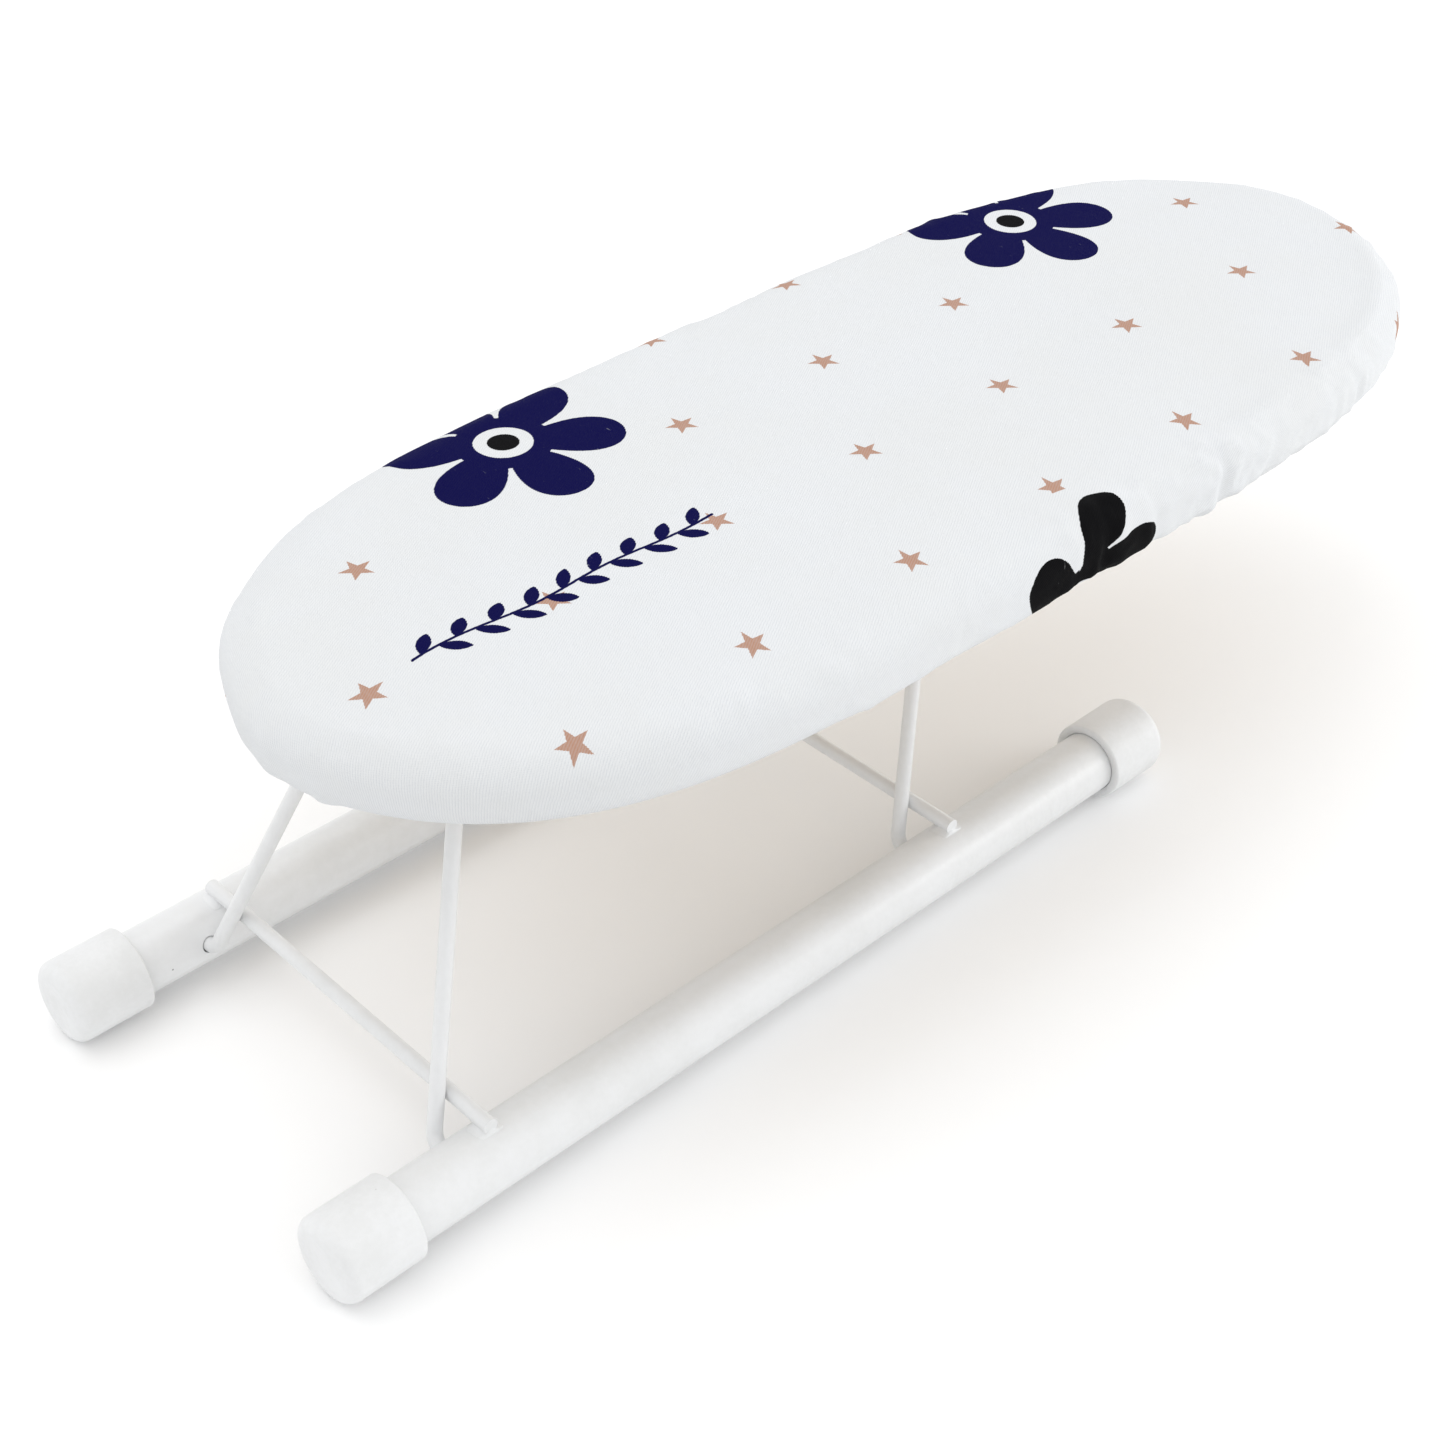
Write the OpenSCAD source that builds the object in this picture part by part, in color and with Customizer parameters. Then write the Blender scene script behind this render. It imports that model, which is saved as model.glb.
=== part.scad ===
// Table-top ironing board: a padded board on two parallel wire legs that fold
// down between the two tubes of its base. Millimetres, +Z up, +X towards the
// free end of the board. The origin is the middle of the object's box, on the
// surface that the end caps stand on.

/* [Base] */
// Outer diameter of the two base tubes
tube_d = 22; // [20:0.5:24]
// Wall thickness of the base tubes
tube_wall = 1; // [0.8:0.1:1.5]
// Length of each base tube
tube_len = 355; // [340:1:380]
// Distance between the two tubes, centre to centre
tube_spacing = 142; // [138:1:150]
// Outer diameter of the end caps
cap_d = 28.5; // [27:0.5:30]
// Length of tube that an end cap covers
cap_grip = 24; // [18:1:28]
// Thickness of an end cap's closed end
cap_end = 3; // [2:0.5:5]
// Radius round the closed end of a cap
cap_round = 4.4; // [2:0.2:6]
// Diameter of the two crossbars on top of the tubes
bar_d = 5; // [4:0.5:6]
// Length of a crossbar
bar_len = 145; // [143:1:147]
// Depth that a crossbar is sunk into the tubes by its welding
bar_sink = 0.3; // [0.2:0.1:0.6]

/* [Legs] */
// Diameter of the wire of the leg frames
wire_d = 5; // [4:0.5:5.5]
// Lean of the opened legs from upright, towards the free end
leg_lean = 22.5; // [20:0.5:25]
// Distance of the near pivots behind the middle of the base
near_pivot_back = 130; // [125:1:135]
// Distance between the near and the far pivots
pivot_spread = 199; // [190:1:205]
// Height of the pivots above the centres of the tubes
pivot_rise = 2; // [1:0.5:3]
// Distance between the two sides of a leg frame at its pivots
foot_spread = 114.6; // [112:0.2:115]
// Distance between the two sides of a leg frame at its top bar
head_spread = 50.6; // [48:0.2:60]
// Radius of the wire's bends, to its centre line
bend_r = 5.5; // [5:0.5:7]
// Diameter of the holes in the tubes that the wire ends turn in
pivot_hole_d = 5.8; // [5.7:0.1:6.5]

/* [Board] */
// Length of the covered board
board_len = 494; // [470:1:510]
// Width of the covered board
board_w = 192; // [188:1:200]
// Height of the ironing surface
board_top = 144.5; // [138:0.5:150]
// Distance of the board's middle in front of the base's middle
board_ahead = 111.5; // [105:0.5:120]
// How square the outline's ends are: 2 is an ellipse
end_power = 4.6; // [3:0.1:6]
// How full the outline is near its tips: 2 is an ellipse
side_power = 1.7; // [1.5:0.1:2.2]
// Thickness of the fibreboard panel
panel_t = 9; // [8:0.5:10]
// Thickness of the foam on top of the panel
foam_t = 11.5; // [8:0.5:13]
// Foam beside the panel's edge, from the panel to the cover's outside
edge_pad = 7; // [6:0.5:9]
// Thickness of the cotton cover
cover_t = 0.7; // [0.5:0.1:1]
// Distance of the hem's inner fold from the board's edge
hem_reach = 18.5; // [17:0.5:19]

/* [Clips] */
// Width of a saddle clip along the leg's top bar
clip_w = 11; // [9:0.5:12]
// Thickness of the clip's steel
clip_t = 1; // [0.8:0.1:1.2]
// Distance of a clip's screws from the top bar
screw_out = 9; // [8:0.5:10]
// Distance of the clips from the board's centre line
clip_y = 13; // [12:0.5:14]
// Diameter of the screws
screw_d = 3.5; // [3:0.5:4]

/* [Hidden] */

// Gap of a turning fit, and the play left at a stop
fit_gap = 0.1;
cut = 1; // how far a cutting tool runs past the face it cuts
round_fn = 64;
wire_fn = 48;
outline_points = 80;
roll_steps = 6; // rings in each rolled edge of the pad

// The base, with its middle at base_x so that the whole box is centred
half_base = tube_len / 2 + cap_end;
base_x = -(board_ahead + board_len / 2 - half_base) / 2;
tube_z = cap_d / 2;
bar_z = tube_z + tube_d / 2 + bar_d / 2 - bar_sink;

// The board, from its ironing surface down
board_x = base_x + board_ahead;
panel_top = board_top - cover_t - foam_t;
panel_z = panel_top - panel_t;

// The legs: a parallelogram between the tube holes and the clips
pivot_z = tube_z + pivot_rise;
near_pivot_x = base_x - near_pivot_back;
far_pivot_x = near_pivot_x + pivot_spread;
clip_r = wire_d / 2 + fit_gap;
head_z = panel_z - clip_r;
leg_len = (head_z - pivot_z) / cos(leg_lean);
head_dx = leg_len * sin(leg_lean);
foot_y = foot_spread / 2;
head_y = head_spread / 2;
leg_splay = atan((foot_y - head_y) / leg_len);
wire_end_y = tube_spacing / 2 - 3.5;
wire_lap = 0.4; // how far a straight runs into a bend
bend_swell = 0.03; // how much the wire swells at a bend, which takes in the lap

// A crossbar stands where a leg, opened, comes to rest against it
stop_reach = (wire_d + bar_d) / 2 + fit_gap;
stop_dx = (stop_reach + (bar_z - pivot_z) * sin(leg_lean)) / cos(leg_lean);

// The pad's rolled edges, and the folded hem under the panel
top_roll = [14, 10];
under_roll = [6, 6];
hem_gap = 0.1;
elastic_w = 5;
elastic_t = 0.9;
elastic_play = 0.05;
hem_upper = -hem_gap - cover_t;
hem_lower = hem_upper - elastic_t - 2 * elastic_play;
hem_free_edge = hem_reach - elastic_w - 3;

// The screws
screw_hole_d = screw_d + 0.5;
screw_depth = panel_t - 1;
screw_point = 3;
head_d = 7;
head_rim = 0.8;
head_dome = 1.4;
slot_w = 0.9;
slot_l = 4;
slot_depth = 1.2;

white_paint = "#f4f4f3";
white_plastic = "#ececea";
cotton = "#f3f2ee";
foam_yellow = "#e9dfb8";
fibreboard = "#b08a5e";
zinc = "#c3c6c9";
elastic_white = "#dcdcd8";

// ---- base ----

module base_tube(side) {
    y = side * tube_spacing / 2;
    color(white_paint) difference() {
        translate([base_x - tube_len / 2, y, tube_z]) rotate([0, 90, 0])
            cylinder(d = tube_d, h = tube_len, $fn = round_fn);
        translate([base_x - tube_len / 2 - cut, y, tube_z]) rotate([0, 90, 0])
            cylinder(d = tube_d - 2 * tube_wall, h = tube_len + 2 * cut, $fn = round_fn);
        for (x = [near_pivot_x, far_pivot_x])
            translate([x, y, pivot_z]) rotate([side * 90, 0, 0])
                cylinder(d = pivot_hole_d, h = tube_d / 2 + cut, $fn = wire_fn);
    }
}

// Half of an end cap's section: a wall with a rounded closed end
module cap_section() {
    r = cap_d / 2;
    difference() {
        union() {
            translate([0, cap_round]) square([r, cap_end + cap_grip - cap_round]);
            square([r - cap_round, cap_round + cut]);
            translate([r - cap_round, cap_round]) circle(r = cap_round, $fn = round_fn);
        }
        translate([-cut, cap_end]) square([tube_d / 2 + cut, cap_grip + cut]);
    }
}

module end_cap(side, end) {
    color(white_plastic)
        translate([base_x + end * half_base, side * tube_spacing / 2, tube_z])
            rotate([0, -end * 90, 0]) rotate_extrude($fn = round_fn) cap_section();
}

module bar_rod(x, len) {
    translate([x, len / 2, bar_z]) rotate([90, 0, 0]) cylinder(d = bar_d, h = len, $fn = wire_fn);
}

module tube_solids() {
    for (side = [-1, 1])
        translate([base_x - tube_len / 2, side * tube_spacing / 2, tube_z]) rotate([0, 90, 0])
            cylinder(d = tube_d, h = tube_len, $fn = round_fn);
}

module crossbar(x) {
    color(white_paint) difference() {
        bar_rod(x, bar_len);
        tube_solids();
    }
}

// Two beads of weld at each end of a crossbar, in the corners over the tube
module crossbar_welds(x) {
    bead_r = 1.6;
    bead_l = 4;
    color(white_paint) difference() {
        for (side = [-1, 1], dx = [-1, 1])
            translate([x + dx * bar_d * 0.52, side * tube_spacing / 2, tube_z + tube_d / 2 + 0.5]) {
                rotate([90, 0, 0]) cylinder(r = bead_r, h = bead_l, center = true, $fn = wire_fn);
                for (dy = [-1, 1]) translate([0, dy * bead_l / 2, 0]) sphere(r = bead_r, $fn = wire_fn);
            }
        bar_rod(x, bar_len + 2 * cut);
        tube_solids();
    }
}

// ---- legs, drawn flat with X across and Y up the leg, then stood up ----

// Straight wire from a to b, run a little way into the bends at its ends
module wire(a, b) {
    d = b - a;
    translate([a[0], a[1], 0]) rotate([0, 0, atan2(d[1], d[0])]) rotate([0, 90, 0])
        translate([0, 0, -wire_lap]) cylinder(d = wire_d, h = norm(d) + 2 * wire_lap, $fn = wire_fn);
}

// Bent wire about centre c, from angle a0 through sweep
module wire_bend(c, a0, sweep) {
    translate([c[0], c[1], 0]) rotate([0, 0, a0])
        rotate_extrude(angle = sweep, $fn = round_fn)
            translate([bend_r, 0]) circle(d = wire_d + 2 * bend_swell, $fn = wire_fn);
}

// One side of the frame: wire end, foot bend, side, head bend and half the top bar
module leg_side() {
    turn = 90 - leg_splay;
    tangent = bend_r * tan(turn / 2);
    foot_c = [foot_y + tangent, bend_r];
    head_c = [head_y - tangent, leg_len - bend_r];
    to_side = [cos(leg_splay), sin(leg_splay)] * bend_r;
    wire([wire_end_y, 0], [foot_c[0], 0]);
    wire_bend(foot_c, 180 + leg_splay, turn);
    wire(foot_c - to_side, head_c + to_side);
    wire_bend(head_c, leg_splay, turn);
    wire([head_c[0], leg_len], [0, leg_len]);
}

module leg_frame(pivot_x) {
    color(white_paint) translate([pivot_x, 0, pivot_z]) rotate([0, leg_lean, 0]) rotate([90, 0, 90])
        union() {
            leg_side();
            mirror([1, 0, 0]) leg_side();
        }
}

// ---- board ----

// Outline |x/a|^end_power + |y/b|^side_power = 1, drawn in by inset
function outline(inset) =
    let (a = board_len / 2 - inset, b = board_w / 2 - inset)
    [for (i = [0 : outline_points - 1])
        let (t = 360 * i / outline_points, c = cos(t))
        [board_x + a * c, sign(sin(t)) * b * pow(1 - pow(abs(c), end_power), 1 / side_power)]];

// Solid whose surface follows a section, given as [inset, height] pairs, round
// the outline. The first pair closes with a flat top, the last with a flat one too.
module pad_solid(section) {
    n = outline_points;
    rings = len(section);
    points = [for (s = section) for (p = outline(s[0])) [p[0], p[1], panel_z + s[1]]];
    sides = [for (k = [0 : rings - 2], i = [0 : n - 1])
        let (j = (i + 1) % n) for (f = [
            [k * n + i, k * n + j, (k + 1) * n + j],
            [k * n + i, (k + 1) * n + j, (k + 1) * n + i]]) f];
    first = [for (i = [n - 1 : -1 : 0]) i];
    last = [for (i = [0 : n - 1]) (rings - 1) * n + i];
    polyhedron(points, concat([first, last], sides), convexity = 6);
}

// Rolled edges as [inset, height] pairs, downwards: shift moves them inwards,
// and top is the height of the flat above
function top_edge(shift, top) =
    [for (k = [0 : roll_steps]) let (t = 90 * k / roll_steps)
        [shift + top_roll[0] * (1 - sin(t)), top - top_roll[1] * (1 - cos(t))]];
function under_edge(shift, bottom) =
    [for (k = [0 : roll_steps]) let (t = 90 * k / roll_steps)
        [shift + under_roll[0] * (1 - cos(t)), bottom + under_roll[1] * (1 - sin(t))]];
function backwards(list) = [for (k = [len(list) - 1 : -1 : 0]) list[k]];

module pilot_holes() {
    for (x = [near_pivot_x, far_pivot_x], dx = [-1, 1], side = [-1, 1])
        translate([x + head_dx + dx * screw_out, side * clip_y, panel_z - cut])
            cylinder(d = screw_d, h = screw_depth - screw_point + cut, $fn = wire_fn);
    for (x = [near_pivot_x, far_pivot_x], dx = [-1, 1], side = [-1, 1])
        translate([x + head_dx + dx * screw_out, side * clip_y, panel_z + screw_depth - screw_point])
            cylinder(d1 = screw_d, d2 = 0, h = screw_point, $fn = wire_fn);
}

module deck_panel() {
    color(fibreboard) difference() {
        translate([0, 0, panel_z]) linear_extrude(panel_t) polygon(outline(edge_pad));
        pilot_holes();
    }
}

module foam_pad() {
    shift = cover_t + hem_gap;
    color(foam_yellow) pad_solid(concat(
        top_edge(shift, panel_t + foam_t - hem_gap),
        under_edge(shift, 0),
        [[edge_pad, 0], [edge_pad, panel_t]]));
}

// The cover wraps the pad, turns in under the panel and folds back round the elastic
module cover() {
    fold = hem_reach - cover_t;
    color(cotton) pad_solid(concat(
        top_edge(0, panel_t + foam_t + cover_t),
        under_edge(0, hem_upper),
        [[fold, hem_upper], [fold, hem_lower],
            [hem_free_edge, hem_lower], [hem_free_edge, hem_lower - cover_t],
            [fold, hem_lower - cover_t], [hem_reach, hem_lower], [hem_reach, hem_upper],
            [fold, -hem_gap]],
        backwards(under_edge(cover_t, -hem_gap)),
        backwards(top_edge(cover_t, panel_t + foam_t))));
}

module hem_elastic() {
    inner = hem_reach - cover_t - elastic_play;
    color(elastic_white)
        translate([0, 0, panel_z + hem_lower + elastic_play]) linear_extrude(elastic_t) difference() {
            polygon(outline(inner - elastic_w));
            polygon(outline(inner));
        }
}

// ---- clips and screws ----

// A saddle over the leg's top bar, with a rounded ear and a screw hole each side
module saddle_clip(pivot_x, side) {
    outer = clip_r + clip_t;
    color(zinc) translate([pivot_x + head_dx, side * clip_y, head_z]) difference() {
        union() {
            rotate([90, 0, 0]) cylinder(r = outer, h = clip_w, center = true, $fn = wire_fn);
            translate([-outer, -clip_w / 2, 0]) cube([2 * outer, clip_w, clip_r]);
            translate([-screw_out, -clip_w / 2, clip_r - clip_t]) cube([2 * screw_out, clip_w, clip_t]);
            for (dx = [-1, 1]) translate([dx * screw_out, 0, clip_r - clip_t])
                cylinder(d = clip_w, h = clip_t, $fn = wire_fn);
        }
        translate([-outer - cut, -clip_w, clip_r]) cube([2 * (outer + cut), 2 * clip_w, outer]);
        rotate([90, 0, 0]) cylinder(r = clip_r, h = clip_w + 2 * cut, center = true, $fn = wire_fn);
        translate([-clip_r, -clip_w / 2 - cut, 0]) cube([2 * clip_r, clip_w + 2 * cut, clip_r + cut]);
        for (dx = [-1, 1]) translate([dx * screw_out, 0, 0])
            cylinder(d = screw_hole_d, h = clip_r + cut, $fn = wire_fn);
    }
}

// A wood screw standing point up, its head's bearing face at z = 0
module wood_screw() {
    dome_r = (pow(head_d / 2, 2) + pow(head_dome, 2)) / (2 * head_dome);
    difference() {
        union() {
            cylinder(d = screw_d, h = clip_t + screw_depth - screw_point, $fn = wire_fn);
            translate([0, 0, clip_t + screw_depth - screw_point])
                cylinder(d1 = screw_d, d2 = 0, h = screw_point, $fn = wire_fn);
            translate([0, 0, -head_rim]) cylinder(d = head_d, h = head_rim, $fn = wire_fn);
            intersection() {
                translate([0, 0, dome_r - head_dome - head_rim]) sphere(r = dome_r, $fn = round_fn);
                translate([0, 0, -head_dome - head_rim]) cylinder(d = head_d, h = head_dome, $fn = wire_fn);
            }
        }
        for (a = [0, 90]) rotate([0, 0, a])
            translate([-slot_l / 2, -slot_w / 2, -head_dome - head_rim - cut])
                cube([slot_l, slot_w, slot_depth + cut]);
    }
}

module clip_screws(pivot_x) {
    color(zinc) for (dx = [-1, 1], side = [-1, 1])
        translate([pivot_x + head_dx + dx * screw_out, side * clip_y, panel_z - clip_t]) wood_screw();
}

base_tube(-1);  // front_tube
base_tube(1);  // rear_tube
end_cap(-1, -1);  // front_near_cap
end_cap(-1, 1);  // front_far_cap
end_cap(1, -1);  // rear_near_cap
end_cap(1, 1);  // rear_far_cap
crossbar(near_pivot_x + stop_dx);  // near_crossbar
crossbar(far_pivot_x + stop_dx);  // far_crossbar
crossbar_welds(near_pivot_x + stop_dx);  // near_crossbar_welds
crossbar_welds(far_pivot_x + stop_dx);  // far_crossbar_welds
leg_frame(near_pivot_x);  // near_leg_frame
leg_frame(far_pivot_x);  // far_leg_frame
deck_panel();
foam_pad();
cover();
hem_elastic();
saddle_clip(near_pivot_x, -1);  // near_front_clip
saddle_clip(near_pivot_x, 1);  // near_rear_clip
saddle_clip(far_pivot_x, -1);  // far_front_clip
saddle_clip(far_pivot_x, 1);  // far_rear_clip
clip_screws(near_pivot_x);  // near_clip_screws
clip_screws(far_pivot_x);  // far_clip_screws
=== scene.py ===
"""Looks of a table-top ironing board: a printed cotton cover over foam on a
fibreboard panel, carried by two white wire legs over a base of two white tubes.

Metres, in the row frame: +X towards the board's free end, +Z up.
"""

import math

import bpy
import numpy as np
from mathutils import Matrix, Vector


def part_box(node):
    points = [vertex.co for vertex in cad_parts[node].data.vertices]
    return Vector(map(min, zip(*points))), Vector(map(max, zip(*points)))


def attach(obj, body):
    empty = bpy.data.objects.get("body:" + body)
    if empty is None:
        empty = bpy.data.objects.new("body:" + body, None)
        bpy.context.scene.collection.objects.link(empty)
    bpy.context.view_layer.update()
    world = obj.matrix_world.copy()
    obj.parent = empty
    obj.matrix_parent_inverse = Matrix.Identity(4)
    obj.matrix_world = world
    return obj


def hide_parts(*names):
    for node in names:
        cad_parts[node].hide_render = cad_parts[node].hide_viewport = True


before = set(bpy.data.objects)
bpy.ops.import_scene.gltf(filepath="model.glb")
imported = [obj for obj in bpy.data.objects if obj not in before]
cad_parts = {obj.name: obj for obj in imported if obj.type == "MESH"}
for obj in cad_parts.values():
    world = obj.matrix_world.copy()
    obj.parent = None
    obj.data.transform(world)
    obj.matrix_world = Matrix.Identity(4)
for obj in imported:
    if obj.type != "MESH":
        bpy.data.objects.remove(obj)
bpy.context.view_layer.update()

MM = 0.001
TURN = 2 * math.pi


# ---------------------------------------------------------------- the board's measures

cover_low, cover_high = (np.array(p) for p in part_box("cover"))
panel_low, panel_high = (np.array(p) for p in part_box("deck_panel"))
elastic_low, elastic_high = (np.array(p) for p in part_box("hem_elastic"))

BOARD_X = (cover_low[0] + cover_high[0]) / 2
HALF_LENGTH = (cover_high[0] - cover_low[0]) / 2
HALF_WIDTH = (cover_high[1] - cover_low[1]) / 2
SURFACE_Z = cover_high[2]
PANEL_Z = panel_low[2]
PANEL_TOP_Z = panel_high[2]
EDGE_PAD = HALF_LENGTH - (panel_high[0] - panel_low[0]) / 2

# The outline is |x/a|^END_POWER + |y/b|^SIDE_POWER = 1
END_POWER = 4.6
SIDE_POWER = 1.7

CLOTH_THICK = 0.7 * MM
TOP_ROLL = (14 * MM, 10 * MM)   # the rolled edge's width and height
UNDER_ROLL = 6 * MM             # radius of the bend under the board
HEM_REACH = 18.5 * MM           # from the outline in to the fold round the elastic
HEM_BACK = 8.7 * MM             # from there back out to the hem's free edge
STITCH_BACK = 7.2 * MM          # and to the row of stitches
HEM_GAP = 0.1 * MM              # between the panel and the cover
SIDE_ROOM = 1.7 * MM            # between the foam and the cover, at the side
TOP_ROOM = 0.9 * MM             # and on top
FOAM_ROOM = 1.4 * MM            # how far a crease may press into the foam


# ---------------------------------------------------------------- mesh makers

def mesh_object(name, points, faces, smooth=True):
    """A mesh object from an (n, 3) array of points and an (m, 4) or (m, 3) array of corners."""
    mesh = bpy.data.meshes.new(name)
    faces = np.asarray(faces, dtype=np.int32)
    corners = faces.shape[1]
    mesh.vertices.add(len(points))
    mesh.vertices.foreach_set("co", np.asarray(points, dtype=np.float32).ravel())
    mesh.loops.add(faces.size)
    mesh.loops.foreach_set("vertex_index", faces.ravel())
    mesh.polygons.add(len(faces))
    mesh.polygons.foreach_set("loop_start", np.arange(0, faces.size, corners, dtype=np.int32))
    mesh.polygons.foreach_set("use_smooth", np.full(len(faces), smooth))
    mesh.update(calc_edges=True)
    mesh.validate()
    piece = bpy.data.objects.new(name, mesh)
    bpy.context.scene.collection.objects.link(piece)
    return piece


def ring_faces(rings, around, first=0):
    """Quads between consecutive closed rings of points, ring after ring."""
    k, i = np.meshgrid(np.arange(rings - 1), np.arange(around), indexing="ij")
    j = (i + 1) % around
    a, b = k * around + i, k * around + j
    return (np.stack([a, b, b + around, a + around], axis=-1).reshape(-1, 4) + first).astype(np.int32)


def zipper_faces(around, first, outward):
    """Closes a ring that is symmetric about the X axis with a strip of quads
    between point i and its mirror image, around - i."""
    i = np.arange(0, around // 2)
    a, b = i, i + 1
    c, d = (around - i - 1) % around, (around - i) % around
    quads = np.stack([a, b, c, d], axis=-1)
    if not outward:
        quads = quads[:, ::-1]
    return quads.astype(np.int32) + first


def set_uv(piece, flat, name="flat"):
    """Gives the piece a UV map from an (n, 2) array of values at its vertices."""
    layer = piece.data.uv_layers.new(name=name)
    index = np.zeros(len(piece.data.loops), dtype=np.int32)
    piece.data.loops.foreach_get("vertex_index", index)
    layer.data.foreach_set("uv", np.asarray(flat, dtype=np.float32)[index].ravel())


def outline(inset, turn):
    """Points of |x/a|^END_POWER + |y/b|^SIDE_POWER = 1 with half axes drawn in by
    inset: x = a cos t and y follows from the equation. inset and turn broadcast."""
    a, b = HALF_LENGTH - inset, HALF_WIDTH - inset
    c = np.cos(turn)
    y = b * np.sign(np.sin(turn)) * (1 - np.abs(c) ** END_POWER).clip(0) ** (1 / SIDE_POWER)
    return a * c, y


def even_turns(count):
    """Angles t at which outline(0, t) is cut into stretches of equal length."""
    fine = np.linspace(0, TURN, 20001)
    x, y = outline(0.0, fine)
    run = np.concatenate([[0], np.cumsum(np.hypot(np.diff(x), np.diff(y)))])
    half = np.interp(np.linspace(0, run[-1] / 2, count // 2 + 1), run, fine)
    turns = np.concatenate([half[:-1], TURN - half[:0:-1]])
    return turns, run[-1] * np.arange(count) / count, run[-1]


def outline_normals(turns):
    """Unit vectors that point out of the outline at these angles."""
    step = 1e-4
    x0, y0 = outline(0.0, turns - step)
    x1, y1 = outline(0.0, turns + step)
    nx, ny = y1 - y0, x0 - x1
    size = np.hypot(nx, ny)
    return nx / size, ny / size


# ---------------------------------------------------------------- the cover

AROUND = 720      # points round the outline
turns, along, girth = even_turns(AROUND)
normal_x, normal_y = outline_normals(turns)

under_z = PANEL_Z - HEM_GAP - CLOTH_THICK
hem_middle_z = (elastic_low[2] + elastic_high[2]) / 2
hem_half = (elastic_high[2] - elastic_low[2]) / 2 + 0.05 * MM + CLOTH_THICK


def arc(start, sweep, count):
    """Angles of an arc without its first one, so that sections join with no doubles."""
    return start + sweep * np.arange(1, count + 1) / count


def cover_section():
    """The cover's outside from the middle of the board to the hem's free edge, as
    insets from the outline and heights: flat top, rolled edge as a quarter of an
    ellipse, side, quarter circle under, flat run in, half circle round the
    elastic, and the hem's lower layer back out."""
    flat_in = np.linspace(HALF_WIDTH - 1 * MM, TOP_ROLL[0], 21)
    flat = np.stack([flat_in, np.full(flat_in.shape, SURFACE_Z)], axis=1)
    t = arc(0, TURN / 4, 9)
    top = np.stack([TOP_ROLL[0] * (1 - np.sin(t)), SURFACE_Z - TOP_ROLL[1] * (1 - np.cos(t))], axis=1)
    side_z = np.linspace(top[-1, 1], under_z + UNDER_ROLL, 5)[1:]
    side = np.stack([np.zeros(side_z.shape), side_z], axis=1)
    t = arc(0, TURN / 4, 6)
    under = np.stack([UNDER_ROLL * (1 - np.cos(t)), under_z + UNDER_ROLL * (1 - np.sin(t))], axis=1)
    run_in = np.linspace(UNDER_ROLL, HEM_REACH - hem_half, 7)[1:]
    run = np.stack([run_in, np.full(run_in.shape, under_z)], axis=1)
    lower_z = hem_middle_z - hem_half
    t = arc(0, TURN / 2, 6)
    middle = (under_z + CLOTH_THICK + lower_z) / 2
    half = (under_z + CLOTH_THICK - lower_z) / 2
    fold = np.stack([HEM_REACH - hem_half + half * np.sin(t), middle + half * np.cos(t)], axis=1)
    fold[:, 1] = np.minimum(fold[:, 1], under_z + CLOTH_THICK)
    back_in = np.linspace(HEM_REACH - hem_half, HEM_REACH - HEM_BACK, 5)[1:]
    back = np.stack([back_in, np.full(back_in.shape, lower_z)], axis=1)
    return np.concatenate([flat, top, side, under, run, fold, back])


section = cover_section()
outward = -np.gradient(section[:, 0])
rise = np.gradient(section[:, 1])
section_run = np.concatenate([[0], np.cumsum(np.hypot(*np.diff(section, axis=0).T))])
flat_inset = section[0, 0] - section_run
slope = np.hypot(outward, rise)
face_out, face_up = -rise / slope, outward / slope


def creases(seed, count, spread, width, depth, reach, lean):
    """Pulls in the cloth, each a groove between two low ridges that runs from
    reach (a flat inset) to the hem: (1 - 2 q^2) exp(-q^2), where q is the
    distance round the board over the groove's width. Ranges are (low, high);
    spread gives where they lie, as (low, high) shares of the girth."""
    draw = np.random.default_rng(seed)
    places = draw.uniform(*spread, count) * girth
    widths = draw.uniform(*width, count)
    depths = draw.uniform(*depth, count)
    reaches = draw.uniform(*reach, count)
    leans = draw.uniform(*lean, count)
    move = np.zeros((len(section), AROUND))
    below = flat_inset[:, None]
    for place, wide, deep, start, tilt in zip(places, widths, depths, reaches, leans):
        gap = along[None, :] - place - tilt * (start - below)
        gap = (gap + girth / 2) % girth - girth / 2
        q2 = (gap / (wide * (1 + 8 * (start - below).clip(0)))) ** 2
        fade = ((start - below) / (14 * MM)).clip(0, 1)
        move -= deep * fade * fade * (3 - 2 * fade) * (1 - 2 * q2) * np.exp(-q2)
    return move


def waves(seed, count, size, length):
    """Low swells over the cloth: a sum of plane waves in flat coordinates, with
    lengths in the range length and together about size high."""
    draw = np.random.default_rng(seed)
    x, y = outline(flat_inset[:, None], turns[None, :])
    total = np.zeros(x.shape)
    for _ in range(count):
        heading, start = draw.uniform(0, TURN, 2)
        pace = TURN / draw.uniform(*length)
        total += np.sin(pace * (x * math.cos(heading) + y * math.sin(heading)) + start)
    return total * size / math.sqrt(count)


def share_at(x, y):
    """The share of the girth at which the outline passes nearest to (x, y)."""
    ox, oy = outline(0.0, turns)
    return float(along[np.argmin(np.hypot(ox - x, oy - y))] / girth)


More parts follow.
